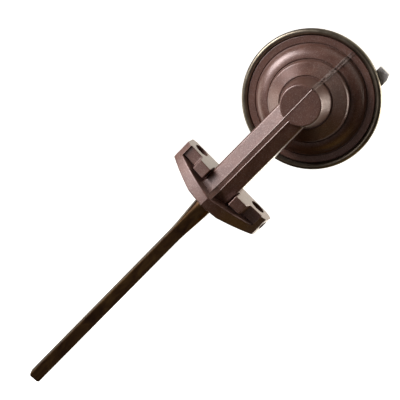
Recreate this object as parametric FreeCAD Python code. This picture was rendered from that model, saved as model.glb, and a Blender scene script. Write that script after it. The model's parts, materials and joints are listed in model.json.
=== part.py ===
"""Right-angle window crank operator.

A square drive bar turns a bevel pinion inside the stem of a cast housing. The
pinion drives a bevel gear on the output shaft, which leaves the bell-shaped dish
at the back through a spring brake and ends in an output hub.

Frame, in millimetres: the origin is on the drive bar's axis, in the plane of the
flange pads. +Z runs along the bar towards the dish, -Y towards the boss face, and
X across the flange's two ears.
"""
import FreeCAD, Part
import math
import os

from FreeCAD import Rotation, Vector

# ---- Main layout ----
DISH_Z = 67.0              # height of the dish axis above the flange pads
RIM_Y = 28.6               # front face of the dish's outer ring, behind the bar axis
SEAT_Y = 31.2              # back face of the dish, where the back cup is screwed on
DISH_R = 40.7              # radius of the cast dish
BOSS_FACE_Y = -13.0        # flat face of the boss
BOSS_R = 13.2              # radius of the boss at its face
BOSS_EDGE_R = 1.2          # rounding of the face's edge
BOSS_FOOT_R = 16.2         # radius of the boss where its wall meets the dish
BOSS_FOOT_Y = 7.6

# ---- Flange ----
EAR_HALF_LENGTH = 35.8     # from the bar axis to the middle of the +X ear's bowed end
EAR_CORNER_X = 34.4        # where an ear's end meets its side walls
EAR_END_HALF_DEPTH = 8.0
WALL_MIDDLE = (18.5, 20.4)  # a point that the bowed side walls pass through
NOSE_Y = 27.6              # where two bowed walls meet at the parting line
SCREW_SPACING = 50.0
SCREW_HOLE_R = 5.0
PAD_BACK_Y = 6.2           # flush back of the pads, close behind the screw holes
PAD_END_X = 31.0           # where a pad meets the full-depth wall at the ear's end
PAD_STEP_X = (20.0, 21.3)  # front and back of the slanted step between the two pads
PAD_STEM_X = 11.2          # where the deep pad stops, beside the stem
PAD_OUTER_DEPTH = 9.4      # how far the shallow pads reach in front of the bar axis
PAD_INNER_DEPTH = 18.6     # the same for the deep pads
PAD_SLANT = 1.3            # how much farther each pad reaches at its end nearer the stem
PAD_BOTTOM_Z = -7.2        # underside of the pads, above the pocket
POCKET_DEPTH = 8.0         # how far in front of the bar axis the pocket's back wall stands
LEDGE_END_Z = -7.4
LEDGE_MIDDLE_Z = -11.2
KEEL_END_Z = -13.4
KEEL_MIDDLE_Z = -18.2
KEEL_FLAT_HALF = 12.0
PLATE_FILLET_R = 0.8
PAD_FILLET_R = 0.7
SIDE_HOLE_R = 3.0
SIDE_HOLE_DEPTH = 3.0
SIDE_HOLE_Y = -4.0
SIDE_HOLE_Z = -5.4
SHAFT_OPENING_R = 8.2      # opening under the flange for the seal and the bush's flange

# ---- Stem ----
STEM_HALF_WIDTH = 10.5
STEM_SHOULDER_X = 9.3      # where a sloping face starts, past the rounded corner
STEM_FOOT = (11.8, 14.4, 17.0)  # depths of a side wall's edge, of the shoulder, of the ridge
STEM_FOOT_Z = -13.2        # where the stem ends, inside the plate
STEM_HEAD = (8.0, 10.0, 12.5)
STEM_HEAD_Z = DISH_Z - 6.0  # where the stem ends, inside the boss
STEM_BORE_R = 7.0

# ---- Parting seam and the marks of the mould ----
SEAM_X = -1.7              # the fine line, beside the middle of the casting
SEAM_HALF_WIDTH = 0.35
SEAM_HEIGHT = 0.25
FLASH_X = (-2.7, -0.9)     # the flash above the boss is two thin ridges
FLASH_HALF_WIDTH = 0.35
FLASH_HEIGHT = 0.5
RIB_X = (-1.7, 1.7)        # the stem's flat ridge strip, between two fine lines
WEB_TOP_Z = -4.0           # where the web at the stem's foot starts
GATE_MARK_X = (-4.6, -1.5)
GATE_MARK_RISE = (19.4, 23.6)  # how far the mark lies above the dish axis
GATE_MARK_HEIGHT = 1.1

# ---- Drive bar ----
BAR_SIDE = 8.0
BAR_EDGE_R = 0.6
BAR_TURN_DEG = 12.0        # how far the square is turned from the flange's sides
BAR_TIP_Z = -190.6
BAR_TIP_BEVEL = (1.2, 0.9)  # length of the free end's bevel, and how deep it cuts each side
BAR_FLARE_Z = -54.0        # where the square starts to swell
BAR_COLLAR_Z = -18.6       # where the swelling has become the round collar
BAR_COLLAR_R = 6.5
BAR_SHOULDER_Z = -12.0     # end of the collar, which takes the thrust
BAR_SHAFT_R = 4.5
BAR_SPIGOT_R = 3.0

# ---- Bushes, washers and pinion pin in the stem ----
UPPER_BUSH_TOP_Z = DISH_Z - 13.3
UPPER_BUSH_LENGTH = 14.0
LOWER_BUSH_LENGTH = 12.0
BUSH_FLANGE_R = 8.0
WASHER_THICKNESS = 1.0
PINION_HUB_R = 5.2
PIN_R = 1.0

# ---- Bevel gears ----
MODULE = 1.0
PINION_TEETH = 10
GEAR_TEETH = 20
FACE_WIDTH = 3.6
PRESSURE_ANGLE = math.radians(25.0)
ADDENDUM = 0.8
DEDENDUM = 1.1
BACKLASH = 0.24

# ---- Output shaft and brake ----
SHAFT_TOP_R = 4.0
SHAFT_MAIN_R = 6.0
SHAFT_END_R = 5.0
SHAFT_SHOULDER_Y = 11.0
SHAFT_STEP_Y = 38.5
SHAFT_END_Y = 46.0
DRUM_INNER_R = 19.8
DRUM_OUTER_R = 22.6
BRAKE_HUB_R = 17.8
BRAKE_COLLAR_R = 9.5       # radius of the brake hub's front collar
SPRING_WIRE_R = 0.8
SPRING_MEAN_R = 18.9
SPRING_PITCH = 1.75
SPRING_TURNS = 3

CIRCLIP_Y = 1.6            # middle of the retaining ring in front of the gear
BRAKE_FRONT_Y = 22.4       # front faces of the brake hub and drum
BRAKE_PIN_Y = 25.6
HUB_PIN_Y = 42.0
CROSS_PIN_R = 1.5

# ---- Back of the dish ----
CUP_R = 45.0
CUP_BEAD_INNER_R = 41.0
CUP_BEAD_TOP_Y = 27.2
GASKET_THICKNESS = 0.3
CUP_SHEET = 1.5
COVER_SCREW_CIRCLE_R = 29.5
COVER_SCREW_COUNT = 4
COVER_BOSS_R = 3.4
COVER_SCREW_R = 2.0
COVER_HEAD_R = 3.6
COVER_HEAD_HEIGHT = 2.2
BEARING_R = 15.0
BEARING_LENGTH = 5.0
BUSH_OUTER_R = 8.0
OUTPUT_HUB_R = 11.0
OUTPUT_HUB_END_Y = 56.0
OUTPUT_BORE_R = 6.0
SET_SCREW_R = 2.5
SET_SCREW_PROUD = 0.6      # how far the set screw stands out of the hub
SOCKET_R = 1.45            # corner radius of the set screw's hexagon socket
SOCKET_DEPTH = 2.2

# ---- Bracket behind the dish ----
BRACKET_SHEET = 1.6
BRACKET_X = (16.4, 25.6)
BRACKET_TOP_Z = DISH_Z + 45.4
BRACKET_BOTTOM_Z = DISH_Z - 14.0
BRACKET_RIVET_Z = (DISH_Z + 8.0, DISH_Z + 30.0)
BRACKET_SIDE_DEPTH = 5.5   # how far the folded side reaches behind the strap
BRACKET_SIDE_Z = DISH_Z + 34.0  # where the folded side starts
BRACKET_CORNER = (1.5, 3.7)  # width and height of the cut-off corner at the top
HEM_LENGTH = 8.0           # length of the doubled-over end
HEM_GAP = 2.0              # gap between the strap and its doubled-over end
BEND_THICKNESS = 1.2
WINDOW_X = (18.3, 22.3)
WINDOW_BELOW_TOP = (5.0, 1.6)
NOTCH_X = (23.0, 24.0)
NOTCH_BELOW_TOP = (7.6, 3.6)
FOOT_HOLE_R = 2.25
FOOT_HOLE_Z = BRACKET_BOTTOM_Z + 5.0
BRACKET_RIVET_R = 1.6
BRACKET_RIVET_HEAD = (2.8, 1.3)  # radius and height

BEARING_RIVET_R = 0.9
BEARING_RIVET_CIRCLE_R = 13.6

RUNNING_GAP = 0.03         # radial clearance of a shaft in its bush

# ---- Values worked out from the ones above ----
CUP_FRONT_Y = SEAT_Y + GASKET_THICKNESS
CUP_BACK_Y = CUP_FRONT_Y + CUP_SHEET
BEARING_BACK_Y = CUP_BACK_Y + BEARING_LENGTH
PINION_HUB_END_Z = UPPER_BUSH_TOP_Z - UPPER_BUSH_LENGTH - 1.0
SPIGOT_END_Z = UPPER_BUSH_TOP_Z + 0.6
BRACKET_BACK_Y = CUP_BACK_Y + BRACKET_SHEET

X_AXIS = Vector(1, 0, 0)
Y_AXIS = Vector(0, 1, 0)
Z_AXIS = Vector(0, 0, 1)
DISH_CENTRE = Vector(0, 0, DISH_Z)


# ---- Helpers ----
def outline(place, start, *moves):
    """A closed wire. A move is a point for a line, or (middle, end) for an arc."""
    edges = []
    here = start
    for move in moves + (start,):
        if isinstance(move[0], tuple):
            middle, end = move
            edges.append(Part.Arc(place(*here), place(*middle), place(*end)).toShape())
        else:
            end = move
            if math.dist(here, end) > 1e-6:
                edges.append(Part.makeLine(place(*here), place(*end)))
        here = end
    return Part.Wire(edges)


def on_dish(radius, y):
    return Vector(radius, y, DISH_Z)


def on_bar(radius, z):
    return Vector(radius, 0, z)


def turned_on_dish(start, *moves):
    """A solid turned about the dish axis from a (radius, y) outline."""
    face = Part.Face(outline(on_dish, start, *moves))
    return face.revolve(DISH_CENTRE, Y_AXIS, 360)


def turned_on_bar(start, *moves):
    """A solid turned about the drive bar's axis from a (radius, z) outline."""
    face = Part.Face(outline(on_bar, start, *moves))
    return face.revolve(Vector(), Z_AXIS, 360)


def dish_ring(inner, outer, low_y, high_y):
    """A plain ring, washer or bush on the dish axis."""
    return turned_on_dish((inner, low_y), (outer, low_y), (outer, high_y), (inner, high_y))


def bar_ring(inner, outer, low_z, high_z):
    """A plain ring, washer or bush on the drive bar's axis."""
    return turned_on_bar((inner, low_z), (outer, low_z), (outer, high_z), (inner, high_z))


def rod(radius, start, end):
    """A plain round rod between two points."""
    return Part.makeCylinder(radius, (end - start).Length, start, end - start)


def block(x, y, z):
    """A box between three (low, high) pairs."""
    size = [pair[1] - pair[0] for pair in (x, y, z)]
    return Part.makeBox(size[0], size[1], size[2], Vector(x[0], y[0], z[0]))


def around_dish(radius, degrees, y):
    """A point at a radius and angle round the dish axis."""
    angle = math.radians(degrees)
    return Vector(radius * math.cos(angle), y, DISH_Z + radius * math.sin(angle))


def fused(first, *others):
    return first.fuse(list(others)).removeSplitter()


def save(node, shape):
    shape.exportStep(os.path.join("parts", node + ".step"))


# ---- Cast housing ----
def bell_outside(grow=0.0):
    """The dish and boss as one turned solid. grow lifts the surface for the seam."""
    face_y = BOSS_FACE_Y - grow
    return turned_on_dish(
        (0, face_y),
        (BOSS_R - BOSS_EDGE_R, face_y),
        ((BOSS_R - 0.3 * BOSS_EDGE_R + grow, face_y + 0.3 * BOSS_EDGE_R),
         (BOSS_R + grow, face_y + BOSS_EDGE_R)),
        (BOSS_FOOT_R + grow, BOSS_FOOT_Y - grow),
        (BOSS_FOOT_R + 0.6 + grow, BOSS_FOOT_Y - grow),
        (BOSS_FOOT_R + 1.0 + grow, BOSS_FOOT_Y - 0.5 - grow),
        (24.2, 13.8 - grow),
        ((25.4 + grow, 15.0 - grow), (25.9 + grow, 16.8)),
        (25.9 + grow, 21.3 - grow),
        (26.5 + grow, 21.3 - grow),
        (26.9 + grow, 20.6 - grow),
        ((32.7 + grow, 22.9 - grow), (35.4 + grow, 27.2)),
        (35.4 + grow, RIM_Y + 0.7 - grow),
        (35.9 + grow, RIM_Y + 0.7 - grow),
        (36.3 + grow, RIM_Y - grow),
        (DISH_R - 0.6, RIM_Y - grow),
        ((DISH_R - 0.18, RIM_Y + 0.18 - grow), (DISH_R, RIM_Y + 0.6)),
        (DISH_R, SEAT_Y),
        (0, SEAT_Y),
    )


def bell_inside():
    """The hollow of the dish: the gear chamber, the bell and the top bush's seat."""
    return turned_on_dish(
        (0, -11.5),
        (6.5, -11.5),
        (6.5, -6.5),
        (11.2, -6.5),
        (11.2, 11.5),
        (15.8, 13.0),
        (20.6, 16.9),
        (23.3, 20.6),
        (23.3, 23.2),
        (27.0, 23.2),
        ((31.2, 25.0), (32.8, 28.0)),
        (33.0, SEAT_Y),
        (0, SEAT_Y),
    )


def stem_face(depths):
    """Half of the stem's section, from the +X side wall over the ridge to the -X one."""
    side, shoulder, ridge = depths
    corner = (STEM_HALF_WIDTH - 0.3, side + (shoulder - side) * 0.6)
    moves = [(STEM_HALF_WIDTH, side), (corner, (STEM_SHOULDER_X, shoulder))]
    for x in reversed(RIB_X):
        moves.append((x + SEAM_HALF_WIDTH, ridge))
        moves.append((x, ridge + SEAM_HEIGHT))
        moves.append((x - SEAM_HALF_WIDTH, ridge))
    moves.append((-STEM_SHOULDER_X, shoulder))
    moves.append(((-corner[0], corner[1]), (-STEM_HALF_WIDTH, side)))
    return moves


def stem_section(z, depths):
    """The stem's section: flat side walls, and sloping faces up to a seamed ridge."""
    def place(x, y):
        return Vector(x, y, z)

    def turned(move):
        if isinstance(move[0], tuple):
            return tuple((-x, -y) for x, y in move)
        return (-move[0], -move[1])

    back = stem_face(depths)
    front = [turned(move) for move in back]
    return outline(place, *back, *front)


def stem_outside():
    foot = stem_section(STEM_FOOT_Z, STEM_FOOT)
    head = stem_section(STEM_HEAD_Z, STEM_HEAD)
    return Part.makeLoft([foot, head], True, True)


def flange_plan(low_z, high_z):
    """The flange seen from above, raised between two heights. Its +X end is bowed."""
    wall_x, wall_y = WALL_MIDDLE

    def place(x, y):
        return Vector(x, y, low_z)

    wire = outline(
        place,
        (EAR_CORNER_X, -EAR_END_HALF_DEPTH),
        ((EAR_HALF_LENGTH, 0), (EAR_CORNER_X, EAR_END_HALF_DEPTH)),
        ((wall_x, wall_y), (0, NOSE_Y)),
        ((-wall_x, wall_y), (-EAR_CORNER_X, EAR_END_HALF_DEPTH)),
        (-EAR_CORNER_X, -EAR_END_HALF_DEPTH),
        ((-wall_x, -wall_y), (0, -NOSE_Y)),
        ((wall_x, -wall_y), (EAR_CORNER_X, -EAR_END_HALF_DEPTH)),
    )
    return Part.Face(wire).extrude(Vector(0, 0, high_z - low_z))


def flange_plate():
    """The keeled plate under the ears. Its top is a ledge that falls to the middle."""
    reach = NOSE_Y + 5
    wide = EAR_HALF_LENGTH + 5

    def place(x, z):
        return Vector(x, -reach, z)

    keel = Part.Face(outline(
        place,
        (-wide, KEEL_END_Z),
        (-EAR_HALF_LENGTH, KEEL_END_Z),
        (-KEEL_FLAT_HALF, KEEL_MIDDLE_Z),
        (KEEL_FLAT_HALF, KEEL_MIDDLE_Z),
        (EAR_HALF_LENGTH, KEEL_END_Z),
        (wide, KEEL_END_Z),
        (wide, LEDGE_END_Z),
        (EAR_HALF_LENGTH, LEDGE_END_Z),
        (0, LEDGE_MIDDLE_Z),
        (-EAR_HALF_LENGTH, LEDGE_END_Z),
        (-wide, LEDGE_END_Z),
    )).extrude(Vector(0, 2 * reach, 0))
    plate = flange_plan(KEEL_MIDDLE_Z - 1, 0).common(keel).removeSplitter()
    outer = [edge for edge in plate.Edges if abs(edge.CenterOfMass.x) > 0.01]
    return plate.makeFillet(PLATE_FILLET_R, outer)


def ear_pads(side):
    """The two pads of one ear over their pocket, and the full-depth wall at its end."""
    reach = NOSE_Y + 5
    wide = EAR_HALF_LENGTH + 5
    low_z = KEEL_END_Z + 1
    step_front_x, step_back_x = PAD_STEP_X

    def place(x, y):
        return Vector(side * x, y, low_z)

    stepped = Part.Face(outline(
        place,
        (0, PAD_BACK_Y),
        (EAR_CORNER_X - 4, PAD_BACK_Y),
        ((EAR_CORNER_X - 1.1, PAD_BACK_Y - 1.2), (EAR_CORNER_X + 1.5, PAD_BACK_Y - 4)),
        (wide, PAD_BACK_Y - 4),
        (wide, -reach),
        (PAD_END_X, -reach),
        (PAD_END_X, -PAD_OUTER_DEPTH),
        (step_back_x, -PAD_OUTER_DEPTH - PAD_SLANT),
        (step_front_x, -PAD_INNER_DEPTH),
        (PAD_STEM_X, -PAD_INNER_DEPTH - PAD_SLANT),
        (PAD_STEM_X, -POCKET_DEPTH),
        (0, -POCKET_DEPTH),
    )).extrude(Vector(0, 0, -low_z))
    pads = flange_plan(low_z, 0).common(stepped).removeSplitter()
    shown = [edge for edge in pads.Edges
             if edge.CenterOfMass.z > low_z + 0.1
             and STEM_HALF_WIDTH < abs(edge.CenterOfMass.x) < PAD_END_X - 0.1
             and edge.CenterOfMass.y < -POCKET_DEPTH - 0.1]
    pads = pads.makeFillet(PAD_FILLET_R, shown)
    pocket_x = sorted((side * (PAD_STEM_X - 1), side * PAD_END_X))
    return pads.cut(block(pocket_x, (-reach, -POCKET_DEPTH), (low_z - 1, PAD_BOTTOM_Z)))


def foot_web_face(x, raised=0.0):
    """The web's side. It slopes from the stem's ridge out to the nose."""
    def place(y, z):
        return Vector(x, y, z)

    return Part.Face(outline(
        place,
        (-STEM_FOOT[1], WEB_TOP_Z + raised),
        (-NOSE_Y + 1.5 - raised, LEDGE_MIDDLE_Z + 0.3 + raised),
        (-NOSE_Y + 1.5 - raised, LEDGE_MIDDLE_Z - 1),
        (-STEM_FOOT[1], LEDGE_MIDDLE_Z - 1),
    ))


def foot_web():
    """The web in front of the stem's foot. It carries on the ridge strip and its lines."""
    left, right = RIB_X
    pieces = [foot_web_face(left).extrude(Vector(right - left, 0, 0))]
    for x in RIB_X:
        line = foot_web_face(x - SEAM_HALF_WIDTH / 2, SEAM_HEIGHT)
        pieces.append(line.extrude(Vector(SEAM_HALF_WIDTH, 0, 0)))
    return fused(*pieces)


def parting_seam():
    """The fine line across the boss's face, and the two ridges of flash above it."""
    half_length = BOSS_R - BOSS_EDGE_R

    def place(x, y):
        return Vector(x, y, DISH_Z - half_length)

    line = Part.Face(outline(
        place,
        (SEAM_X - SEAM_HALF_WIDTH, BOSS_FACE_Y),
        (SEAM_X, BOSS_FACE_Y - SEAM_HEIGHT),
        (SEAM_X + SEAM_HALF_WIDTH, BOSS_FACE_Y),
    )).extrude(Vector(0, 0, 2 * half_length))
    strips = []
    for x in FLASH_X:
        strips.append(block((x - FLASH_HALF_WIDTH, x + FLASH_HALF_WIDTH), (-60, SEAT_Y - 1),
                            (DISH_Z + half_length, DISH_Z + DISH_R - 0.5)))
    return bell_outside(FLASH_HEIGHT).common(Part.makeCompound(strips)).fuse(line)


def gate_mark():
    """The broken-off stub of the mould's gate, above the boss."""
    low, high = GATE_MARK_RISE
    patch = block(GATE_MARK_X, (-60, SEAT_Y - 1), (DISH_Z + low, DISH_Z + high))
    return bell_outside(GATE_MARK_HEIGHT).common(patch)


def cover_boss(degrees):
    return rod(COVER_BOSS_R, around_dish(COVER_SCREW_CIRCLE_R, degrees, 23.0),
               around_dish(COVER_SCREW_CIRCLE_R, degrees, SEAT_Y))


def cover_screw_angles():
    return [45 + 360 / COVER_SCREW_COUNT * i for i in range(COVER_SCREW_COUNT)]


def gear_housing():
    casting = fused(bell_outside(), stem_outside(), flange_plate(), ear_pads(-1), ear_pads(1),
                    foot_web(), parting_seam(), gate_mark())
    casting = casting.cut(bell_inside())
    casting = casting.fuse([cover_boss(angle) for angle in cover_screw_angles()])
    cuts = [
        rod(STEM_BORE_R, Vector(0, 0, BAR_SHOULDER_Z + 2), Vector(0, 0, DISH_Z)),
        rod(SHAFT_OPENING_R, Vector(0, 0, KEEL_MIDDLE_Z - 1), Vector(0, 0, BAR_SHOULDER_Z + 2)),
        rod(SIDE_HOLE_R, Vector(EAR_HALF_LENGTH - SIDE_HOLE_DEPTH, SIDE_HOLE_Y, SIDE_HOLE_Z),
            Vector(EAR_HALF_LENGTH + 1, SIDE_HOLE_Y, SIDE_HOLE_Z)),
    ]
    for angle in cover_screw_angles():
        cuts.append(rod(COVER_SCREW_R, around_dish(COVER_SCREW_CIRCLE_R, angle, 24.4),
                        around_dish(COVER_SCREW_CIRCLE_R, angle, SEAT_Y + 1)))
    for side in (-1, 1):
        cuts.append(rod(SCREW_HOLE_R, Vector(side * SCREW_SPACING / 2, 0, KEEL_MIDDLE_Z),
                        Vector(side * SCREW_SPACING / 2, 0, 1)))
    return casting.cut(cuts).removeSplitter()


# ---- Bushes, washers and seal of the stem ----
def upper_bush():
    return bar_ring(PINION_HUB_R + RUNNING_GAP, STEM_BORE_R,
                    UPPER_BUSH_TOP_Z - UPPER_BUSH_LENGTH, UPPER_BUSH_TOP_Z)


def lower_bush():
    """A flanged bush in the foot of the stem. Its flange takes the collar's thrust."""
    flange_z = BAR_SHOULDER_Z + WASHER_THICKNESS + 0.1
    inner = BAR_SHAFT_R + RUNNING_GAP
    return turned_on_bar(
        (inner, flange_z),
        (BUSH_FLANGE_R, flange_z),
        (BUSH_FLANGE_R, BAR_SHOULDER_Z + 2),
        (STEM_BORE_R, BAR_SHOULDER_Z + 2),
        (STEM_BORE_R, flange_z + LOWER_BUSH_LENGTH),
        (inner, flange_z + LOWER_BUSH_LENGTH),
    )


def collar_washer():
    return bar_ring(BAR_SHAFT_R + 0.05, 7.4, BAR_SHOULDER_Z, BAR_SHOULDER_Z + WASHER_THICKNESS)


def pinion_washer():
    return bar_ring(PINION_HUB_R + 0.05, 6.7, UPPER_BUSH_TOP_Z + 0.1,
                    UPPER_BUSH_TOP_Z + 0.1 + WASHER_THICKNESS)


def dust_seal():
    """A lipped ring in the foot of the flange, round the bar's collar."""
    inner = BAR_COLLAR_R + 0.08
    return turned_on_bar(
        (inner, -16.9),
        (8.2, -16.9),
        (8.2, -13.2),
        (7.3, -13.2),
        (7.3, -15.6),
        (inner + 0.4, -15.0),
        (inner, -15.2),
    )


# ---- Drive bar ----
def bar_section(z, side, edge_r):
    """A square with rounded edges, turned about the bar's axis."""
    half = side / 2
    flat = half - edge_r
    bulge = flat + edge_r * math.sqrt(0.5)
    turn = Rotation(Z_AXIS, BAR_TURN_DEG)

    def place(x, y):
        return turn.multVec(Vector(x, y, z))

    return outline(
        place,
        (half, -flat),
        (half, flat),
        ((bulge, bulge), (flat, half)),
        (-flat, half),
        ((-bulge, bulge), (-half, flat)),
        (-half, -flat),
        ((-bulge, -bulge), (-flat, -half)),
        (flat, -half),
        ((bulge, -bulge), (half, -flat)),
    )


def drive_bar():
    """The square bar, its swelling, the round collar and the turned shaft."""
    bevel_length, bevel_depth = BAR_TIP_BEVEL
    tip = Part.makeLoft([
        bar_section(BAR_TIP_Z, BAR_SIDE - 2 * bevel_depth, BAR_EDGE_R),
        bar_section(BAR_TIP_Z + bevel_length, BAR_SIDE, BAR_EDGE_R),
    ], True, True)
    straight = Part.makeLoft([
        bar_section(BAR_TIP_Z + bevel_length, BAR_SIDE, BAR_EDGE_R),
        bar_section(BAR_FLARE_Z, BAR_SIDE, BAR_EDGE_R),
    ], True, True)
    swell = Part.makeLoft([
        bar_section(BAR_FLARE_Z, BAR_SIDE, BAR_EDGE_R),
        bar_section(BAR_FLARE_Z + 9, BAR_SIDE + 0.6, BAR_EDGE_R + 0.3),
        bar_section(BAR_FLARE_Z + 18, BAR_SIDE + 2.0, BAR_EDGE_R + 1.2),
        bar_section(BAR_FLARE_Z + 27, BAR_SIDE + 3.4, BAR_EDGE_R + 2.6),
        bar_section(BAR_COLLAR_Z, BAR_SIDE + 4.2, BAR_EDGE_R + 4.4),
    ], True, False)
    shaft = turned_on_bar(
        (0, BAR_COLLAR_Z - 0.8),
        (BAR_COLLAR_R - 0.5, BAR_COLLAR_Z - 0.8),
        (BAR_COLLAR_R, BAR_COLLAR_Z),
        (BAR_COLLAR_R, BAR_SHOULDER_Z),
        (BAR_SHAFT_R, BAR_SHOULDER_Z),
        (BAR_SHAFT_R, PINION_HUB_END_Z - 0.1),
        (BAR_SPIGOT_R, PINION_HUB_END_Z - 0.1),
        (BAR_SPIGOT_R, SPIGOT_END_Z - 0.2),
        (0, SPIGOT_END_Z - 0.2),
    )
    return fused(tip, straight, swell, shaft).cut(pinion_pin())


# ---- Bevel gears ----
def involute(angle):
    return math.tan(angle) - angle


def tooth_half_angle(radius, pitch_r, virtual_teeth):
    """Half the angle that a tooth takes up at a radius, on the back cone."""
    base_r = pitch_r * math.cos(PRESSURE_ANGLE)
    at_radius = math.acos(min(1.0, base_r / radius))
    at_pitch = math.pi / (2 * virtual_teeth) - BACKLASH / (2 * pitch_r)
    return at_pitch + involute(PRESSURE_ANGLE) - involute(at_radius)


def bevel_teeth(teeth, mate_teeth):
    """Straight bevel teeth on their root cone, with the apex at 0 and the axis +Z."""
    cone_angle = math.atan2(teeth, mate_teeth)
    pitch_r = MODULE * teeth / 2
    cone_length = pitch_r / math.sin(cone_angle)
    toe_scale = (cone_length - FACE_WIDTH) / cone_length
    virtual_teeth = teeth / math.cos(cone_angle)
    virtual_r = MODULE * virtual_teeth / 2
    along = Vector(math.sin(cone_angle), 0, math.cos(cone_angle))
    outward = Vector(math.cos(cone_angle), 0, -math.sin(cone_angle))
    root_sink = 0.3

    heights = [-DEDENDUM - root_sink, -DEDENDUM, -0.55, 0.0, ADDENDUM / 2, ADDENDUM]
    flank = []
    for height in heights:
        radius = virtual_r + max(height, -DEDENDUM) * MODULE
        half_width = radius * math.sin(tooth_half_angle(radius, virtual_r, virtual_teeth))
        flank.append((half_width, height * MODULE))
    section = flank + [(-width, height) for width, height in reversed(flank)]

    def ring_of_points(scale):
        points = []
        for width, height in section:
            points.append((along * cone_length + outward * height + Y_AXIS * width) * scale)
        return points + points[:1]

    wires = [Part.makePolygon(ring_of_points(scale)) for scale in (toe_scale, 1.0)]
    tooth = Part.makeLoft(wires, True, True)
    root = along * cone_length + outward * (-DEDENDUM * MODULE)
    body = Part.Face(Part.makePolygon([
        Vector(0, 0, root.z * toe_scale),
        root * toe_scale,
        root,
        Vector(0, 0, root.z),
        Vector(0, 0, root.z * toe_scale),
    ])).revolve(Vector(), Z_AXIS, 360)
    copies = []
    for i in range(teeth):
        copy = tooth.copy()
        copy.rotate(Vector(), Z_AXIS, 360 / teeth * i)
        copies.append(copy)
    return body.fuse(copies), root


def bevel_pinion():
    """The pinion and its hub, hollow for the bar's spigot and cross-drilled for the pin."""
    teeth, root = bevel_teeth(PINION_TEETH, GEAR_TEETH)
    # A tooth points at the bevel gear, which lies on the +Y side.
    teeth.rotate(Vector(), X_AXIS, 180)
    teeth.rotate(Vector(), Z_AXIS, 90)
    teeth.translate(DISH_CENTRE)
    heel_z = DISH_Z - root.z
    back_z = UPPER_BUSH_TOP_Z + 0.1 + WASHER_THICKNESS
    hub = turned_on_bar(
        (0, heel_z),
        (root.x, heel_z),
        (PINION_HUB_R + 0.6, heel_z - 0.9),
        (PINION_HUB_R + 0.6, back_z),
        (PINION_HUB_R, back_z),
        (PINION_HUB_R, PINION_HUB_END_Z),
        (0, PINION_HUB_END_Z),
    )
    bore = rod(BAR_SPIGOT_R, Vector(0, 0, PINION_HUB_END_Z - 1), Vector(0, 0, SPIGOT_END_Z))
    return fused(teeth, hub).cut([bore, pinion_pin()])


def pinion_pin():
    """A cross pin through the pinion's hub and the spigot, held in by the upper bush."""
    z = UPPER_BUSH_TOP_Z - UPPER_BUSH_LENGTH / 2
    reach = PINION_HUB_R - 0.2
    return rod(PIN_R, Vector(-reach, 0, z), Vector(reach, 0, z))


def bevel_gear():
    teeth, root = bevel_teeth(GEAR_TEETH, PINION_TEETH)
    # A gap between two teeth points down at the pinion.
    teeth.rotate(Vector(), Z_AXIS, 180 / GEAR_TEETH)
    teeth.rotate(Vector(), X_AXIS, -90)
    teeth.translate(DISH_CENTRE)
    hub = turned_on_dish(
        (0, root.z),
        (root.x, root.z),
        (10.2, root.z + 1.0),
        (10.2, 8.0),
        (8.0, 10.0),
        (8.0, SHAFT_SHOULDER_Y),
        (0, SHAFT_SHOULDER_Y),
    )
    bore = rod(SHAFT_TOP_R, on_dish(0, 0), on_dish(0, SHAFT_SHOULDER_Y + 1))
    return fused(teeth, hub).cut([bore, gear_key()])


def gear_key():
    return block((-1, 1), (5.6, 10.6), (DISH_Z + 2.8, DISH_Z + 5.2))


# ---- Output shaft and what turns with it ----
def output_shaft():
    shaft = turned_on_dish(
        (0, -10.8),
        (SHAFT_TOP_R - 0.5, -10.8),
        (SHAFT_TOP_R, -10.3),
        (SHAFT_TOP_R, CIRCLIP_Y - 0.45),
        (SHAFT_TOP_R - 0.5, CIRCLIP_Y - 0.45),
        (SHAFT_TOP_R - 0.5, CIRCLIP_Y + 0.45),
        (SHAFT_TOP_R, CIRCLIP_Y + 0.45),
        (SHAFT_TOP_R, SHAFT_SHOULDER_Y),
        (SHAFT_MAIN_R, SHAFT_SHOULDER_Y),
        (SHAFT_MAIN_R, SHAFT_STEP_Y),
        (SHAFT_END_R, SHAFT_STEP_Y),
        (SHAFT_END_R, SHAFT_END_Y - 0.5),
        (SHAFT_END_R - 0.5, SHAFT_END_Y),
        (0, SHAFT_END_Y),
    )
    return shaft.cut([gear_key(), brake_pin(), hub_pin()])


def gear_circlip():
    """A split retaining ring in the shaft's groove, in front of the gear."""
    ring = dish_ring(SHAFT_TOP_R - 0.45, SHAFT_TOP_R + 1.2, CIRCLIP_Y - 0.4, CIRCLIP_Y + 0.4)
    return ring.cut(block((-1.5, 1.5), (0, 3), (DISH_Z + 1, DISH_Z + 8)))


def boss_bush():
    return dish_ring(SHAFT_TOP_R + RUNNING_GAP, 6.5, -11.4, -6.5)


def brake_hub():
    """The disc that carries the spring's two tangs round with the shaft."""
    hub = turned_on_dish(
        (SHAFT_MAIN_R, BRAKE_FRONT_Y),
        (BRAKE_COLLAR_R, BRAKE_FRONT_Y),
        (BRAKE_COLLAR_R + 1, BRAKE_FRONT_Y + 1),
        (BRAKE_HUB_R, BRAKE_FRONT_Y + 1),
        (BRAKE_HUB_R, 30.4),
        (SHAFT_MAIN_R, 30.4),
    )
    slots = [
        block((-1.3, 1.3), (23.0, 25.4), (DISH_Z + 13.0, DISH_Z + 19.0)),
        block((-1.3, 1.3), (28.4, 30.8), (DISH_Z + 13.0, DISH_Z + 19.0)),
    ]
    return hub.cut(slots + [brake_pin()])


def brake_pin():
    reach = BRAKE_COLLAR_R - 0.1
    return rod(CROSS_PIN_R, Vector(-reach, BRAKE_PIN_Y, DISH_Z),
               Vector(reach, BRAKE_PIN_Y, DISH_Z))


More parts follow.
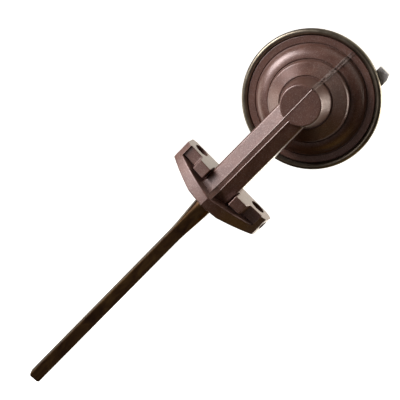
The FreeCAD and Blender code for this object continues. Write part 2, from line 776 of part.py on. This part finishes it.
def brake_spring():
    """A wrap spring whose coils press on the drum. A tang at each end enters the hub."""
    first_y = 24.2
    length = SPRING_PITCH * SPRING_TURNS
    helix = Part.makeHelix(SPRING_PITCH, length, SPRING_MEAN_R)
    section = Part.Wire(Part.makeCircle(SPRING_WIRE_R, Vector(SPRING_MEAN_R, 0, 0), Y_AXIS))
    coil = Part.Wire(helix.Edges).makePipeShell([section], True, True)
    coil.rotate(Vector(), X_AXIS, -90)
    coil.rotate(Vector(), Y_AXIS, -90)
    coil.translate(Vector(0, first_y, DISH_Z))
    tangs = []
    for y in (first_y, first_y + length):
        tangs.append(rod(SPRING_WIRE_R, Vector(0, y, DISH_Z + 14.5),
                         Vector(0, y, DISH_Z + SPRING_MEAN_R)))
    return fused(coil, *tangs)


def brake_drum():
    """A ring standing on the back cup, lined by the spring."""
    return dish_ring(DRUM_INNER_R, DRUM_OUTER_R, BRAKE_FRONT_Y, CUP_FRONT_Y)


def thrust_washer():
    return dish_ring(SHAFT_MAIN_R + 0.05, 9.5, 30.5, 31.3)


def output_bush():
    return dish_ring(SHAFT_MAIN_R + RUNNING_GAP, BUSH_OUTER_R, CUP_FRONT_Y, BEARING_BACK_Y)


def output_hub():
    """The hub behind the dish: pinned to the shaft, with an open bore for the winding shaft."""
    front_y = BEARING_BACK_Y + 0.4
    hub = turned_on_dish(
        (SHAFT_END_R, front_y),
        (OUTPUT_HUB_R - 0.6, front_y),
        (OUTPUT_HUB_R, front_y + 0.6),
        (OUTPUT_HUB_R, OUTPUT_HUB_END_Y - 0.8),
        (OUTPUT_HUB_R - 0.8, OUTPUT_HUB_END_Y),
        (OUTPUT_BORE_R, OUTPUT_HUB_END_Y),
        (OUTPUT_BORE_R, SHAFT_END_Y),
        (SHAFT_END_R, SHAFT_END_Y),
    )
    shoulder = rod(SHAFT_MAIN_R, on_dish(0, front_y - 1), on_dish(0, SHAFT_STEP_Y))
    return hub.cut([shoulder, hub_pin(), hub_screw()])


def hub_pin():
    reach = OUTPUT_HUB_R - 0.3
    return rod(CROSS_PIN_R, Vector(-reach, HUB_PIN_Y, DISH_Z), Vector(reach, HUB_PIN_Y, DISH_Z))


def hub_screw():
    """A headless screw that grips whatever is put in the hub's bore."""
    y = (SHAFT_END_Y + OUTPUT_HUB_END_Y) / 2
    return rod(SET_SCREW_R, Vector(0, y, DISH_Z + OUTPUT_BORE_R + 0.3),
               Vector(0, y, DISH_Z + OUTPUT_HUB_R + SET_SCREW_PROUD))


def hub_set_screw():
    """The headless screw with its hexagon socket."""
    y = (SHAFT_END_Y + OUTPUT_HUB_END_Y) / 2
    top = DISH_Z + OUTPUT_HUB_R + SET_SCREW_PROUD
    corners = []
    for i in range(7):
        angle = math.radians(60 * i)
        corners.append(Vector(SOCKET_R * math.cos(angle), y + SOCKET_R * math.sin(angle),
                              top - SOCKET_DEPTH))
    socket = Part.Face(Part.makePolygon(corners)).extrude(Vector(0, 0, SOCKET_DEPTH + 1))
    return hub_screw().cut(socket)


# ---- Back of the dish ----
def cover_gasket():
    holes = [rod(COVER_SCREW_R + 0.4, around_dish(COVER_SCREW_CIRCLE_R, angle, 25),
                 around_dish(COVER_SCREW_CIRCLE_R, angle, 40)) for angle in cover_screw_angles()]
    return dish_ring(25.5, CUP_BEAD_INNER_R - 0.1, SEAT_Y, CUP_FRONT_Y).cut(holes)


def back_cup():
    """A pressed steel disc whose rolled bead frames the cast dish."""
    bead_y = CUP_BEAD_TOP_Y + (CUP_R - CUP_BEAD_INNER_R) / 2
    bead_r = (CUP_R + CUP_BEAD_INNER_R) / 2
    cup = turned_on_dish(
        (BUSH_OUTER_R, CUP_FRONT_Y),
        (CUP_BEAD_INNER_R, CUP_FRONT_Y),
        (CUP_BEAD_INNER_R, bead_y),
        ((bead_r, CUP_BEAD_TOP_Y), (CUP_R, bead_y)),
        (CUP_R, CUP_BACK_Y - 1.4),
        ((CUP_R - 0.41, CUP_BACK_Y - 0.41), (CUP_R - 1.4, CUP_BACK_Y)),
        (BUSH_OUTER_R, CUP_BACK_Y),
    )
    holes = []
    for angle in cover_screw_angles():
        holes.append(rod(COVER_SCREW_R + 0.2, around_dish(COVER_SCREW_CIRCLE_R, angle, 30),
                         around_dish(COVER_SCREW_CIRCLE_R, angle, 40)))
    return cup.cut(holes + [bearing_rivets(), bracket_rivets()])


def cover_screws():
    """Pan-head screws from the back, each into a boss inside the dish."""
    screws = []
    for angle in cover_screw_angles():
        end = around_dish(COVER_SCREW_CIRCLE_R, angle, 24.8)
        under_head = around_dish(COVER_SCREW_CIRCLE_R, angle, CUP_BACK_Y)
        top = around_dish(COVER_SCREW_CIRCLE_R, angle, CUP_BACK_Y + COVER_HEAD_HEIGHT)
        head = rod(COVER_HEAD_R, under_head, top)
        head = head.makeFillet(0.9, [edge for edge in head.Edges
                                     if abs(edge.CenterOfMass.y - top.y) < 1e-6])
        cross = [
            block((-2.0, 2.0), (top.y - 1.2, top.y + 1), (-0.4, 0.4)),
            block((-0.4, 0.4), (top.y - 1.2, top.y + 1), (-2.0, 2.0)),
        ]
        for slot in cross:
            slot.translate(Vector(top.x, 0, top.z))
        screws.append(head.fuse(rod(COVER_SCREW_R, end, under_head)).cut(cross))
    return Part.makeCompound(screws)


def output_bearing():
    """The turned flange riveted to the cup, which holds the output bush."""
    housing = turned_on_dish(
        (BUSH_OUTER_R, CUP_BACK_Y),
        (BEARING_R, CUP_BACK_Y),
        (BEARING_R, CUP_BACK_Y + 1.8),
        ((12.2, CUP_BACK_Y + 2.2), (11.4, CUP_BACK_Y + 3.6)),
        (11.4, BEARING_BACK_Y - 0.5),
        (10.9, BEARING_BACK_Y),
        (BUSH_OUTER_R, BEARING_BACK_Y),
    )
    return housing.cut(bearing_rivets())


def bearing_rivets():
    rivets = []
    for angle in (90, 210, 330):
        rivets.append(rod(BEARING_RIVET_R,
                          around_dish(BEARING_RIVET_CIRCLE_R, angle, CUP_FRONT_Y),
                          around_dish(BEARING_RIVET_CIRCLE_R, angle, CUP_BACK_Y + 2.6)))
    return Part.makeCompound(rivets)


def anchor_bracket():
    """A folded strap behind the cup. Its windowed, doubled-over end shows above the rim."""
    left, right = BRACKET_X
    middle = (left + right) / 2
    corner_width, corner_height = BRACKET_CORNER
    hem_y = (BRACKET_BACK_Y + HEM_GAP, BRACKET_BACK_Y + HEM_GAP + BRACKET_SHEET)

    def place(x, z):
        return Vector(x, CUP_BACK_Y, z)

    strap = Part.Face(outline(
        place,
        (left, BRACKET_BOTTOM_Z),
        (right, BRACKET_BOTTOM_Z),
        (right, BRACKET_TOP_Z - corner_height),
        (right - corner_width, BRACKET_TOP_Z),
        (left, BRACKET_TOP_Z),
    )).extrude(Vector(0, BRACKET_SHEET, 0))
    side = block((right - BRACKET_SHEET, right),
                 (CUP_BACK_Y, BRACKET_BACK_Y + BRACKET_SIDE_DEPTH),
                 (BRACKET_SIDE_Z, BRACKET_TOP_Z - corner_height))
    bend = block((left, right - corner_width), (CUP_BACK_Y, hem_y[1]),
                 (BRACKET_TOP_Z - BEND_THICKNESS, BRACKET_TOP_Z))
    hem = block(BRACKET_X, hem_y, (BRACKET_TOP_Z - HEM_LENGTH, BRACKET_TOP_Z - corner_height))
    hem_top = block((left, right - corner_width), hem_y,
                    (BRACKET_TOP_Z - corner_height, BRACKET_TOP_Z))
    openings = []
    for x, below_top in ((WINDOW_X, WINDOW_BELOW_TOP), (NOTCH_X, NOTCH_BELOW_TOP)):
        openings.append(block(x, (CUP_BACK_Y - 1, BRACKET_BACK_Y),
                              [BRACKET_TOP_Z - below for below in below_top]))
    foot = rod(FOOT_HOLE_R, Vector(middle, CUP_BACK_Y - 1, FOOT_HOLE_Z),
               Vector(middle, BRACKET_BACK_Y + 1, FOOT_HOLE_Z))
    cuts = openings + [foot, bracket_rivets()] + cover_screw_reliefs()
    return fused(strap, side, bend, hem, hem_top).cut(cuts)


def cover_screw_reliefs():
    """Round cut-outs that leave room for the cover screws' heads."""
    reliefs = []
    for angle in cover_screw_angles():
        reliefs.append(rod(COVER_HEAD_R + 0.5,
                           around_dish(COVER_SCREW_CIRCLE_R, angle, CUP_BACK_Y - 1),
                           around_dish(COVER_SCREW_CIRCLE_R, angle, CUP_BACK_Y + 9)))
    return reliefs


def bracket_rivets():
    x = sum(BRACKET_X) / 2
    head_r, head_height = BRACKET_RIVET_HEAD
    rivets = []
    for z in BRACKET_RIVET_Z:
        shank = rod(BRACKET_RIVET_R, Vector(x, CUP_FRONT_Y, z), Vector(x, BRACKET_BACK_Y, z))
        head = rod(head_r, Vector(x, BRACKET_BACK_Y, z),
                   Vector(x, BRACKET_BACK_Y + head_height, z))
        head = head.makeFillet(1.0, [head.Edges[0]])
        rivets.append(shank.fuse(head))
    return Part.makeCompound(rivets)


PIECES = (
    gear_housing, lower_bush, upper_bush, boss_bush, collar_washer, pinion_washer, dust_seal,
    drive_bar, bevel_pinion, pinion_pin, bevel_gear, gear_key, gear_circlip, output_shaft,
    brake_hub, brake_pin, brake_spring, brake_drum, thrust_washer, output_bush,
    output_hub, hub_pin, hub_set_screw, cover_gasket, back_cup, cover_screws, output_bearing,
    bearing_rivets, anchor_bracket, bracket_rivets,
)

if __name__ == "__main__":
    os.makedirs("parts", exist_ok=True)
    for piece in PIECES:
        save(piece.__name__, piece())
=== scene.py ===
"""Looks for the right-angle window crank operator: materials, light, floor and camera.

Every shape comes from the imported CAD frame, in metres. This script gives each CAD
node its procedural material and sets the studio around it. In the frame, +Z runs up
the bar to the dish, -Y faces the camera and X runs across the flange's two ears.
"""
import bpy
import json
import math
from mathutils import Matrix, Vector


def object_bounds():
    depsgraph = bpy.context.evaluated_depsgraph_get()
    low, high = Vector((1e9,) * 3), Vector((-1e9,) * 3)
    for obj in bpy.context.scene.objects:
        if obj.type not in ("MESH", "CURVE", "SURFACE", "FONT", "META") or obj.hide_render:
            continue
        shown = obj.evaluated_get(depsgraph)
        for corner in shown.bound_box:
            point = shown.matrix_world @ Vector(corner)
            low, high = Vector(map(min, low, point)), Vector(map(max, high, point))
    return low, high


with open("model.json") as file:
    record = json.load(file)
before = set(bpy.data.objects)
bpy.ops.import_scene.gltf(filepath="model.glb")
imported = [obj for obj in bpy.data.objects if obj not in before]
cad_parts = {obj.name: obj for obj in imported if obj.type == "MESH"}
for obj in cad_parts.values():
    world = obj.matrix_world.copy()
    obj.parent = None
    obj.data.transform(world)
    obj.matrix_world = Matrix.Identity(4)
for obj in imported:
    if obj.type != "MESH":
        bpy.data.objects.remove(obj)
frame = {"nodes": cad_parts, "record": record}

CAD_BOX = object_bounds()
MM = 0.001

# ---- Camera: the viewing angle in degrees, and how far the bar leans across the picture ----
CAMERA_AIM = Vector((-3.6, -6.4, -21.9)) * MM
CAMERA_AZIMUTH = 2.9
CAMERA_ELEVATION = 15.75
CAMERA_ROLL = -44.55
CAMERA_DISTANCE = 943.5 * MM
CAMERA_LENS = 135.0     # focal length, mm
CAMERA_SENSOR = 36.0    # sensor width, mm

# ---- The part of the flash above the boss that gets a painted highlight ----
FLASH_MIDDLE_X = -1.8 * MM
FLASH_MIDDLE_Z = 93.0 * MM
FLASH_HALF_WIDTH = 1.6 * MM
FLASH_HALF_LENGTH = 13.5 * MM

# ---- Masks ----
EDGE_SAMPLES = 6
EDGE_SHARP = 0.80       # agreement of the true and the rounded normal on a sharp edge
EDGE_FLAT = 0.985       # and where the surface counts as flat
NEAR_SOLID = 0.85       # share of a mask's reach that is fully white

# ---- Colours, as linear (red, green, blue) ----
# Each PLAIN one is the even colour that stands in where no pattern is drawn.
CAST_PLAIN = (0.15, 0.072, 0.052)
CAST_DARK = (0.112, 0.048, 0.032)
CAST_LIGHT = (0.176, 0.082, 0.057)
# painted glints: the pale colour of a lit highlight, laid on fine specks
CAST_PAINTED_GLINT = (0.40, 0.31, 0.28)
# painted highlight on the flash above the boss
CAST_FLASH_HIGHLIGHT = (0.62, 0.54, 0.50)
CAST_WORN = (0.42, 0.31, 0.25)

BAR_PLAIN = (0.13, 0.08, 0.04)
BAR_DARK = (0.065, 0.030, 0.016)
BAR_BROWN = (0.125, 0.066, 0.026)
BAR_GOLD = (0.200, 0.118, 0.042)
BAR_WORN = (0.50, 0.38, 0.24)

SHEET_PLAIN = (0.36, 0.33, 0.26)
SHEET_DARK = (0.17, 0.145, 0.105)
SHEET_LIGHT = (0.28, 0.245, 0.185)
SHEET_WORN = (0.75, 0.73, 0.68)

ZINC_DARK = (0.46, 0.45, 0.43)
ZINC_LIGHT = (0.66, 0.65, 0.62)
TURNED_DARK = (0.42, 0.40, 0.37)
TURNED_LIGHT = (0.58, 0.56, 0.52)
GEAR_DARK = (0.34, 0.34, 0.35)
GEAR_LIGHT = (0.50, 0.50, 0.51)
BLACKED_DARK = (0.045, 0.045, 0.05)
BLACKED_LIGHT = (0.10, 0.10, 0.11)

BRONZE_PLAIN = (0.50, 0.33, 0.15)
BRONZE_PORE = (0.25, 0.15, 0.06)
BRONZE_LIGHT = (0.56, 0.38, 0.18)
RUBBER_PLAIN = (0.02, 0.02, 0.02)
RUBBER_BLACK = (0.012, 0.011, 0.010)
RUBBER_DUST = (0.045, 0.040, 0.035)

# ---- Floor ----
FLOOR_DROP = 120 * MM   # how far it lies below the bar's free end
FLOOR_SIZE = 40.0
FLOOR_SQUARES = 4       # mesh squares along each side
FLOOR_GRAIN = 0.3       # size of its faint cloudiness
FLOOR_GLOW = 0.9
FLOOR_PLAIN = (0.93, 0.93, 0.93)
FLOOR_PALE = (0.97, 0.97, 0.97)
WHITE = (1.0, 1.0, 1.0)

# ---- Light: glowing patches as (direction towards, spread in degrees, colour) ----
GLOWS = {
    "all round, very faint": ((0.0, 0.0, 1.0), 180, (0.018, 0.012, 0.008)),
    "in front": ((-0.05, -0.96, -0.27), 35, (0.18, 0.155, 0.15)),
    "front left": ((-0.64, -0.73, -0.18), 24, (2.2, 2.12, 2.2)),
    "behind, wide": ((0.20, 0.95, 0.05), 52, (1.7, 1.6, 1.4)),
    "behind, low": ((0.25, 0.93, -0.27), 28, (2.2, 2.1, 1.9)),
    "above": ((-0.10, 0.10, 1.0), 55, (0.5, 0.47, 0.44)),
    "below left": ((-0.57, 0.15, -0.80), 34, (2.2, 2.05, 1.9)),
    "back right": ((0.75, 0.55, -0.35), 28, (0.5, 0.44, 0.36)),
    "front right, warm": ((0.85, -0.42, -0.32), 26, (0.36, 0.22, 0.05)),
}

# ---- Lamps as (place, width, power in watts, colour) ----
LAMPS = {
    "key": ((-0.57, -0.27, 0.05), 0.36, 4.7, (1.0, 0.97, 1.0)),
    "rim": ((0.42, 0.40, 0.42), 0.42, 4.6, (1.0, 0.94, 0.86)),
}
LAMP_TARGET = Vector((0, 0, 20 * MM))


# ---- Node helpers ----
class Shader:
    """A material with a few short ways to add and join its nodes."""

    def __init__(self, name, color, metallic, roughness):
        self.material = bpy.data.materials.new(name)
        self.material.use_nodes = True
        self.nodes = self.material.node_tree.nodes
        self.links = self.material.node_tree.links
        self.bsdf = self.nodes["Principled BSDF"]
        self.bsdf.inputs["Base Color"].default_value = (*color, 1.0)
        self.bsdf.inputs["Metallic"].default_value = metallic
        self.bsdf.inputs["Roughness"].default_value = roughness
        self.place = self.nodes.new("ShaderNodeTexCoord").outputs["Object"]

    def join(self, source, target):
        """Feeds one node's output into another's input."""
        self.links.new(source, target)

    def stretched(self, scale):
        """The object's own coordinates, stretched along its axes."""
        mapping = self.nodes.new("ShaderNodeMapping")
        mapping.inputs["Scale"].default_value = scale
        self.join(self.place, mapping.inputs["Vector"])
        return mapping.outputs["Vector"]

    def noise(self, size, detail=3.0, roughness=0.55, place=None, distortion=0.0):
        """Noise whose features are about size metres across."""
        noise = self.nodes.new("ShaderNodeTexNoise")
        noise.inputs["Scale"].default_value = 1.0 / size
        noise.inputs["Detail"].default_value = detail
        noise.inputs["Roughness"].default_value = roughness
        noise.inputs["Distortion"].default_value = distortion
        self.join(place or self.place, noise.inputs["Vector"])
        return noise.outputs["Fac"]

    def cells(self, size):
        """Random grey cells about size metres across."""
        cells = self.nodes.new("ShaderNodeTexVoronoi")
        cells.inputs["Scale"].default_value = 1.0 / size
        self.join(self.place, cells.inputs["Vector"])
        grey = self.nodes.new("ShaderNodeSeparateColor")
        self.join(cells.outputs["Color"], grey.inputs["Color"])
        return grey.outputs["Red"]

    def ramp(self, value, *stops):
        """A colour ramp of (position, (r, g, b)) or (position, grey) stops."""
        ramp = self.nodes.new("ShaderNodeValToRGB")
        elements = ramp.color_ramp.elements
        while len(elements) < len(stops):
            elements.new(0.5)
        for element, (position, color) in zip(elements, stops):
            element.position = position
            rgb = color if isinstance(color, tuple) else (color,) * 3
            element.color = (*rgb, 1.0)
        self.join(value, ramp.inputs["Fac"])
        return ramp.outputs["Color"]

    def between(self, value, low, high):
        """The value 0 to 1 mapped to low to high."""
        spread = self.nodes.new("ShaderNodeMapRange")
        spread.inputs["To Min"].default_value = low
        spread.inputs["To Max"].default_value = high
        self.join(value, spread.inputs["Value"])
        return spread.outputs["Result"]

    def painted(self, base, mask, color):
        """The base with a fixed (r, g, b) colour over it where the mask is white."""
        mix = self.nodes.new("ShaderNodeMix")
        mix.data_type = "RGBA"
        under, over = [socket for socket in mix.inputs if socket.type == "RGBA"]
        self.join(base, under)
        over.default_value = (*color, 1.0)
        self.join(mask, mix.inputs["Factor"])
        return next(socket for socket in mix.outputs if socket.type == "RGBA")

    def edge_mask(self, radius):
        """White on sharp edges: where a rounded normal would differ from the true one."""
        bevel = self.nodes.new("ShaderNodeBevel")
        bevel.samples = EDGE_SAMPLES
        bevel.inputs["Radius"].default_value = radius
        true = self.nodes.new("ShaderNodeNewGeometry").outputs["Normal"]
        dot = self.nodes.new("ShaderNodeVectorMath")
        dot.operation = "DOT_PRODUCT"
        self.join(bevel.outputs["Normal"], dot.inputs[0])
        self.join(true, dot.inputs[1])
        return self.ramp(dot.outputs["Value"], (EDGE_SHARP, 1.0), (EDGE_FLAT, 0.0))

    def worn(self, base, radius, amount, color):
        """The base with its sharp edges partly rubbed through to another colour."""
        return self.painted(base, self.between(self.edge_mask(radius), 0.0, amount), color)

    def near(self, axis, middle, reach):
        """White where the object's own coordinate lies within reach of middle."""
        split = self.nodes.new("ShaderNodeSeparateXYZ")
        self.join(self.place, split.inputs["Vector"])
        away = self.nodes.new("ShaderNodeMath")
        away.operation = "SUBTRACT"
        away.inputs[1].default_value = middle
        self.join(split.outputs[axis], away.inputs[0])
        distance = self.nodes.new("ShaderNodeMath")
        distance.operation = "ABSOLUTE"
        self.join(away.outputs["Value"], distance.inputs[0])
        fade = self.nodes.new("ShaderNodeMapRange")
        fade.inputs["From Min"].default_value = reach
        fade.inputs["From Max"].default_value = reach * NEAR_SOLID
        self.join(distance.outputs["Value"], fade.inputs["Value"])
        return fade.outputs["Result"]

    def both(self, first, second):
        """Two masks multiplied."""
        product = self.nodes.new("ShaderNodeMath")
        product.operation = "MULTIPLY"
        self.join(first, product.inputs[0])
        self.join(second, product.inputs[1])
        return product.outputs["Value"]

    def color(self, source):
        """Sets what drives the base colour."""
        self.join(source, self.bsdf.inputs["Base Color"])

    def roughness(self, source):
        """Sets what drives the roughness."""
        self.join(source, self.bsdf.inputs["Roughness"])

    def bumps(self, *layers):
        """Bump layers of (height source, depth in metres), one on top of another."""
        normal = None
        for source, depth in layers:
            bump = self.nodes.new("ShaderNodeBump")
            bump.inputs["Strength"].default_value = 1.0
            bump.inputs["Distance"].default_value = depth
            self.join(source, bump.inputs["Height"])
            if normal is not None:
                self.join(normal, bump.inputs["Normal"])
            normal = bump.outputs["Normal"]
        self.join(normal, self.bsdf.inputs["Normal"])


# ---- Materials ----
def cast_brown():
    """Dark brown bronze-effect coating on the casting, with painted glints on fine specks and
    a painted highlight on the flash above the boss.
    """
    s = Shader("cast_brown", CAST_PLAIN, metallic=0.25, roughness=0.40)
    cloud = s.noise(9 * MM, detail=4)
    grain = s.noise(0.75 * MM, detail=3, roughness=0.7)
    glint_specks = s.cells(0.38 * MM)
    base = s.ramp(cloud, (0.30, CAST_DARK), (0.70, CAST_LIGHT))
    # painted glints: pale highlight-coloured specks mixed into the base colour
    painted_glints = s.ramp(glint_specks, (0.75, 0.0), (1.0, 0.45))
    base = s.painted(base, painted_glints, CAST_PAINTED_GLINT)
    # painted highlight: a pale strip along the flash above the boss, broken up by the grain
    flash_highlight_zone = s.both(
        s.near("X", FLASH_MIDDLE_X, FLASH_HALF_WIDTH),
        s.near("Z", FLASH_MIDDLE_Z, FLASH_HALF_LENGTH),
    )
    patchy_flash_highlight = s.both(flash_highlight_zone, s.ramp(grain, (0.42, 0.0), (0.62, 0.60)))
    base = s.painted(base, patchy_flash_highlight, CAST_FLASH_HIGHLIGHT)
    s.color(s.worn(base, radius=0.5 * MM, amount=0.25, color=CAST_WORN))
    s.roughness(s.between(grain, 0.30, 0.50))
    s.bumps((cloud, 0.10 * MM), (grain, 0.07 * MM))
    s.bsdf.inputs["Coat Weight"].default_value = 0.55
    s.bsdf.inputs["Coat Roughness"].default_value = 0.31
    s.bsdf.inputs["Coat IOR"].default_value = 1.7
    return s.material


def bar_brown():
    """Golden-brown chromated steel with soft mottling along the bar."""
    s = Shader("bar_brown", BAR_PLAIN, metallic=0.75, roughness=0.36)
    mottle = s.noise(6 * MM, detail=5, distortion=0.8, place=s.stretched((1, 1, 0.45)))
    fine = s.noise(0.6 * MM, detail=3)
    base = s.ramp(mottle, (0.30, BAR_DARK), (0.50, BAR_BROWN), (0.70, BAR_GOLD))
    s.color(s.worn(base, radius=0.4 * MM, amount=0.45, color=BAR_WORN))
    s.roughness(s.between(fine, 0.24, 0.40))
    s.bumps((mottle, 0.06 * MM), (fine, 0.03 * MM))
    return s.material


def rolled_steel():
    """Olive-grey plated sheet steel."""
    s = Shader("rolled_steel", SHEET_PLAIN, metallic=0.9, roughness=0.33)
    cloud = s.noise(6 * MM, detail=4)
    fine = s.noise(0.4 * MM, detail=2)
    base = s.ramp(cloud, (0.3, SHEET_DARK), (0.7, SHEET_LIGHT))
    s.color(s.worn(base, radius=0.4 * MM, amount=0.5, color=SHEET_WORN))
    s.roughness(s.between(cloud, 0.26, 0.42))
    s.bumps((cloud, 0.05 * MM), (fine, 0.012 * MM))
    return s.material


def bright_zinc():
    """Pale zinc plate with faint spangles."""
    s = Shader("bright_zinc", ZINC_LIGHT, metallic=0.25, roughness=0.32)
    spangles = s.cells(2.2 * MM)
    fine = s.noise(0.35 * MM, detail=3)
    s.color(s.ramp(spangles, (0.2, ZINC_DARK), (0.8, ZINC_LIGHT)))
    s.roughness(s.between(fine, 0.22, 0.38))
    s.bumps((fine, 0.012 * MM))
    return s.material


def machined(name, dark, light, roughness):
    """Turned or cut metal with fine tool marks round the dish's axis."""
    s = Shader(name, light, metallic=0.95, roughness=roughness)
    marks = s.noise(0.30 * MM, detail=2, place=s.stretched((0.15, 1, 0.15)))
    cloud = s.noise(5 * MM, detail=3)
    s.color(s.ramp(cloud, (0.3, dark), (0.7, light)))
    s.roughness(s.between(marks, roughness - 0.06, roughness + 0.10))
    s.bumps((marks, 0.012 * MM))
    return s.material


def bush_bronze():
    """Sintered bronze, slightly porous and oiled."""
    s = Shader("bush_bronze", BRONZE_PLAIN, metallic=0.9, roughness=0.40)
    pores = s.noise(0.35 * MM, detail=4)
    s.color(s.ramp(pores, (0.35, BRONZE_PORE), (0.6, BRONZE_LIGHT)))
    s.roughness(s.between(pores, 0.50, 0.32))
    s.bumps((pores, 0.03 * MM))
    return s.material


def dark_rubber():
    """Matt black nitrile with a dusty bloom."""
    s = Shader("dark_rubber", RUBBER_PLAIN, metallic=0.0, roughness=0.65)
    dust = s.noise(1.5 * MM, detail=5)
    s.color(s.ramp(dust, (0.4, RUBBER_BLACK), (0.75, RUBBER_DUST)))
    s.roughness(s.between(dust, 0.55, 0.8))
    s.bumps((dust, 0.03 * MM))
    return s.material


def give_materials():
    """Each CAD node takes the finish that its record slot names."""
    made = {
        "cast_brown": cast_brown(),
        "bar_brown": bar_brown(),
        "rolled_steel": rolled_steel(),
        "bright_zinc": bright_zinc(),
        "turned_steel": machined("turned_steel", TURNED_DARK, TURNED_LIGHT, roughness=0.30),
        "gear_steel": machined("gear_steel", GEAR_DARK, GEAR_LIGHT, roughness=0.34),
        "dark_steel": machined("dark_steel", BLACKED_DARK, BLACKED_LIGHT, roughness=0.40),
        "bush_bronze": bush_bronze(),
        "dark_rubber": dark_rubber(),
    }
    slots = {part["node"]: part["material_slot"] for part in frame["record"]["subparts"]}
    for node, thing in frame["nodes"].items():
        thing.data.materials.clear()
        thing.data.materials.append(made[slots[node]])


# ---- Studio ----
def floor():
    """A wide pale floor below the bar's free end. It glows a little, so it stays white."""
    bpy.ops.mesh.primitive_grid_add(
        x_subdivisions=FLOOR_SQUARES,
        y_subdivisions=FLOOR_SQUARES,
        size=FLOOR_SIZE,
        location=(0, 0, CAD_BOX[0].z - FLOOR_DROP),
    )
    sheet = bpy.context.object
    sheet.name = "floor"
    s = Shader("pale_floor", FLOOR_PLAIN, metallic=0.0, roughness=0.8)
    cloud = s.noise(FLOOR_GRAIN, detail=2)
    tone = s.ramp(cloud, (0.3, FLOOR_PALE), (0.7, WHITE))
    s.color(tone)
    s.join(tone, s.bsdf.inputs["Emission Color"])
    s.bsdf.inputs["Emission Strength"].default_value = FLOOR_GLOW
    sheet.data.materials.append(s.material)
    sheet.visible_diffuse = False
    sheet.visible_glossy = False


class Surroundings:
    """The studio's walls: dark, with soft glowing patches that the object reflects."""

    def __init__(self):
        world = bpy.data.worlds.new("studio")
        bpy.context.scene.world = world
        world.use_nodes = True
        self.nodes = world.node_tree.nodes
        self.links = world.node_tree.links
        self.background = self.nodes["Background"]
        self.direction = self.nodes.new("ShaderNodeTexCoord").outputs["Generated"]
        self.total = None

    def glow(self, toward, spread, color):
        """A soft round patch of light in one direction, fading out at spread degrees."""
        cosine = self.nodes.new("ShaderNodeVectorMath")
        cosine.operation = "DOT_PRODUCT"
        cosine.inputs[1].default_value = Vector(toward).normalized()
        self.links.new(self.direction, cosine.inputs[0])
        fade = self.nodes.new("ShaderNodeMapRange")
        fade.interpolation_type = "SMOOTHSTEP"
        fade.inputs["From Min"].default_value = math.cos(math.radians(spread))
        self.links.new(cosine.outputs["Value"], fade.inputs["Value"])
        patch = self.nodes.new("ShaderNodeVectorMath")
        patch.operation = "SCALE"
        patch.inputs[0].default_value = color
        self.links.new(fade.outputs["Result"], patch.inputs["Scale"])
        self.add(patch.outputs["Vector"])

    def add(self, source):
        """Adds one patch to those made so far."""
        if self.total is not None:
            both = self.nodes.new("ShaderNodeVectorMath")
            both.operation = "ADD"
            self.links.new(self.total, both.inputs[0])
            self.links.new(source, both.inputs[1])
            source = both.outputs["Vector"]
        self.total = source

    def finish(self):
        """The camera itself sees plain white walls."""
        self.links.new(self.total, self.background.inputs["Color"])
        white = self.nodes.new("ShaderNodeBackground")
        white.inputs["Color"].default_value = (*WHITE, 1.0)
        choice = self.nodes.new("ShaderNodeMixShader")
        seen = self.nodes.new("ShaderNodeLightPath").outputs["Is Camera Ray"]
        self.links.new(seen, choice.inputs[0])
        self.links.new(self.background.outputs["Background"], choice.inputs[1])
        self.links.new(white.outputs["Background"], choice.inputs[2])
        self.links.new(choice.outputs["Shader"], self.nodes["World Output"].inputs["Surface"])


def soft_box(name, place, size, power, color):
    """A square soft light, out of the camera's sight, that faces the stem."""
    lamp = bpy.data.lights.new(name, "AREA")
    lamp.shape = "SQUARE"
    lamp.size = size
    lamp.energy = power
    lamp.color = color
    box = bpy.data.objects.new(name, lamp)
    bpy.context.collection.objects.link(box)
    box.location = place
    box.rotation_euler = (LAMP_TARGET - Vector(place)).to_track_quat("-Z", "Y").to_euler()
    box.visible_camera = False


def studio():
    """Glowing walls and two soft lamps. The Standard view adds no film curve."""
    walls = Surroundings()
    for toward, spread, color in GLOWS.values():
        walls.glow(toward, spread, color)
    walls.finish()
    for name, (place, size, power, color) in LAMPS.items():
        soft_box(name, place, size, power, color)
    bpy.context.scene.view_settings.view_transform = "Standard"


def camera():
    """Looks at CAMERA_AIM from the set angle. A roll of 0 would keep +Z upright."""
    lens = bpy.data.cameras.new("camera")
    lens.lens = CAMERA_LENS
    lens.sensor_width = CAMERA_SENSOR
    azimuth = math.radians(CAMERA_AZIMUTH)
    elevation = math.radians(CAMERA_ELEVATION)
    back = Vector((
        math.sin(azimuth) * math.cos(elevation),
        -math.cos(azimuth) * math.cos(elevation),
        math.sin(elevation),
    ))
    upright = (-back).to_track_quat("-Z", "Y")
    rolled = upright.to_matrix().to_4x4() @ Matrix.Rotation(math.radians(-CAMERA_ROLL), 4, "Z")
    eye = bpy.data.objects.new("camera", lens)
    bpy.context.collection.objects.link(eye)
    eye.matrix_world = Matrix.Translation(CAMERA_AIM + back * CAMERA_DISTANCE) @ rolled
    bpy.context.scene.camera = eye


camera()
give_materials()
floor()
studio()
